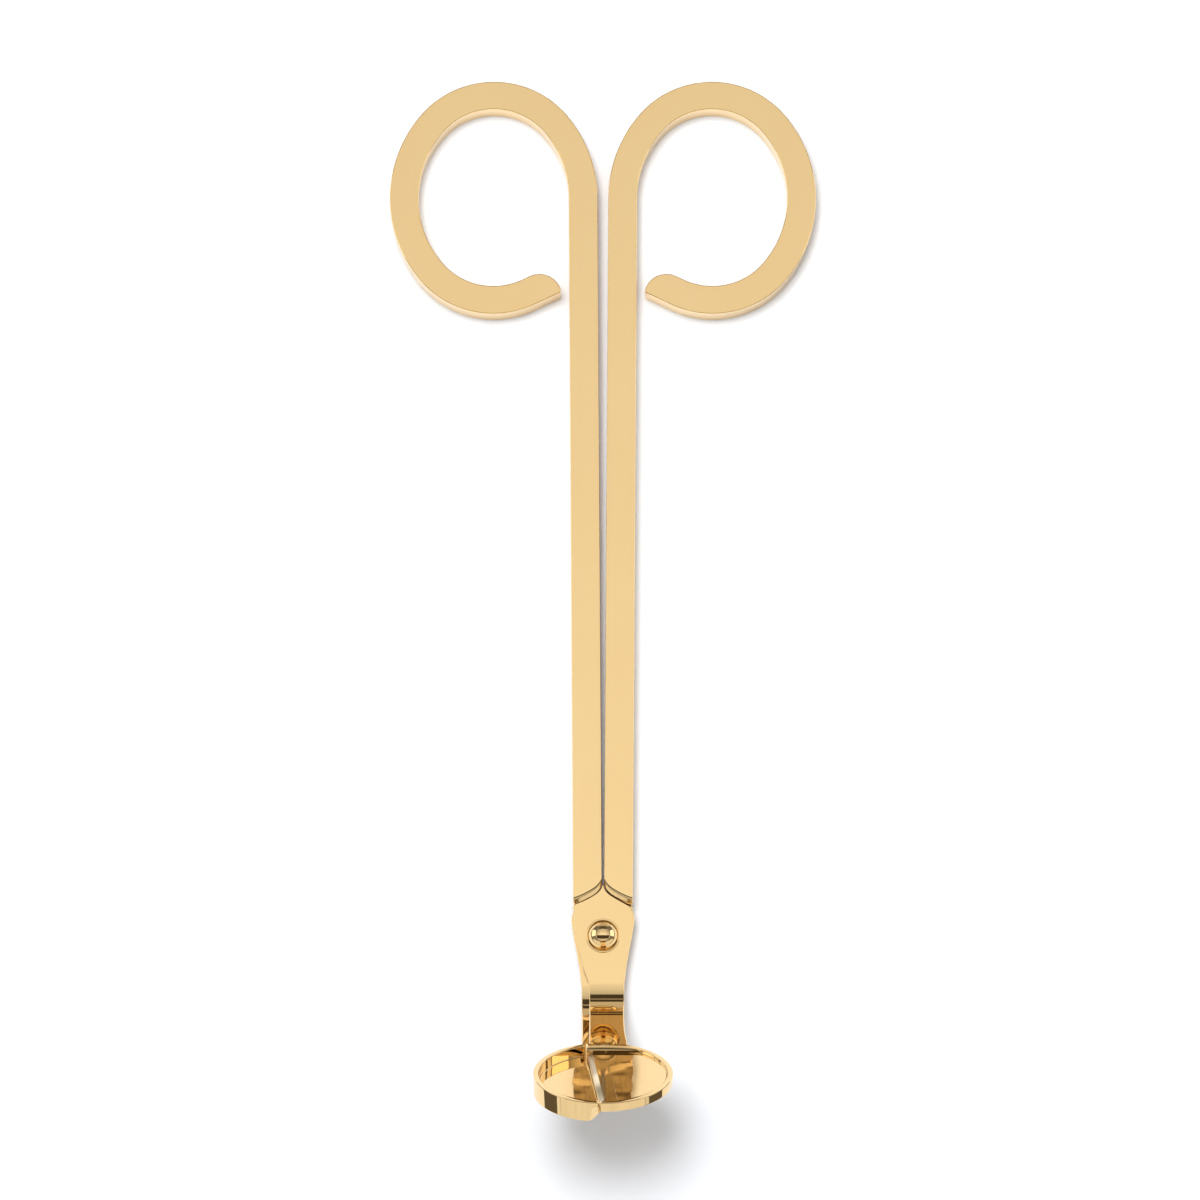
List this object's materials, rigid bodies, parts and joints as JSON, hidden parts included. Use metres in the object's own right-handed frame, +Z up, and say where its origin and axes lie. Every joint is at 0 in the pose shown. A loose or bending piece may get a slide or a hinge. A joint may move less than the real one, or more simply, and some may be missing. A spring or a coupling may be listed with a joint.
{
  "type": "wick trimmer",
  "caption": "Candle wick trimmer: crossed levers with oval finger loops, a pivot screw, and up-bent jaws that carry two overlapping halves of a round catch tray.",
  "frame": {"origin": "middle of the bottom of the whole part, which lies on its back on the table with the tool shut", "axes": "+X to the right, +Y from the tray towards the finger loops, +Z up off the table"},
  "size_m": [0.0738, 0.1853, 0.0362],
  "materials": {
    "handle_plating": "gold-toned mirror plating over steel bar",
    "jaw_plating": "gold-toned mirror plating over steel plate",
    "ground_blade": "ground and plated cutting strip",
    "pivot_hardware": "gold-toned turned screw, sleeve and washer",
    "washer_plastic": "plain nylon sheet"
  },
  "bodies": {
    "right_lever": {"right_handle": "handle_plating", "rear_jaw": "jaw_plating", "left_tray": "jaw_plating", "lower_blade": "ground_blade", "pivot_sleeve": "pivot_hardware", "pivot_screw": "pivot_hardware", "head_washer": "pivot_hardware", "friction_washer": "washer_plastic"},
    "left_lever": {"left_handle": "handle_plating", "front_jaw": "jaw_plating", "right_tray": "jaw_plating", "upper_blade": "ground_blade"}
  },
  "joints": [
    {"name": "pivot", "type": "hinge", "parent": "right_lever", "child": "left_lever", "pos_m": [0, -0.05726, 0.0023], "axis": [0, 0, 1], "range_deg": [0, 50]}
  ]
}
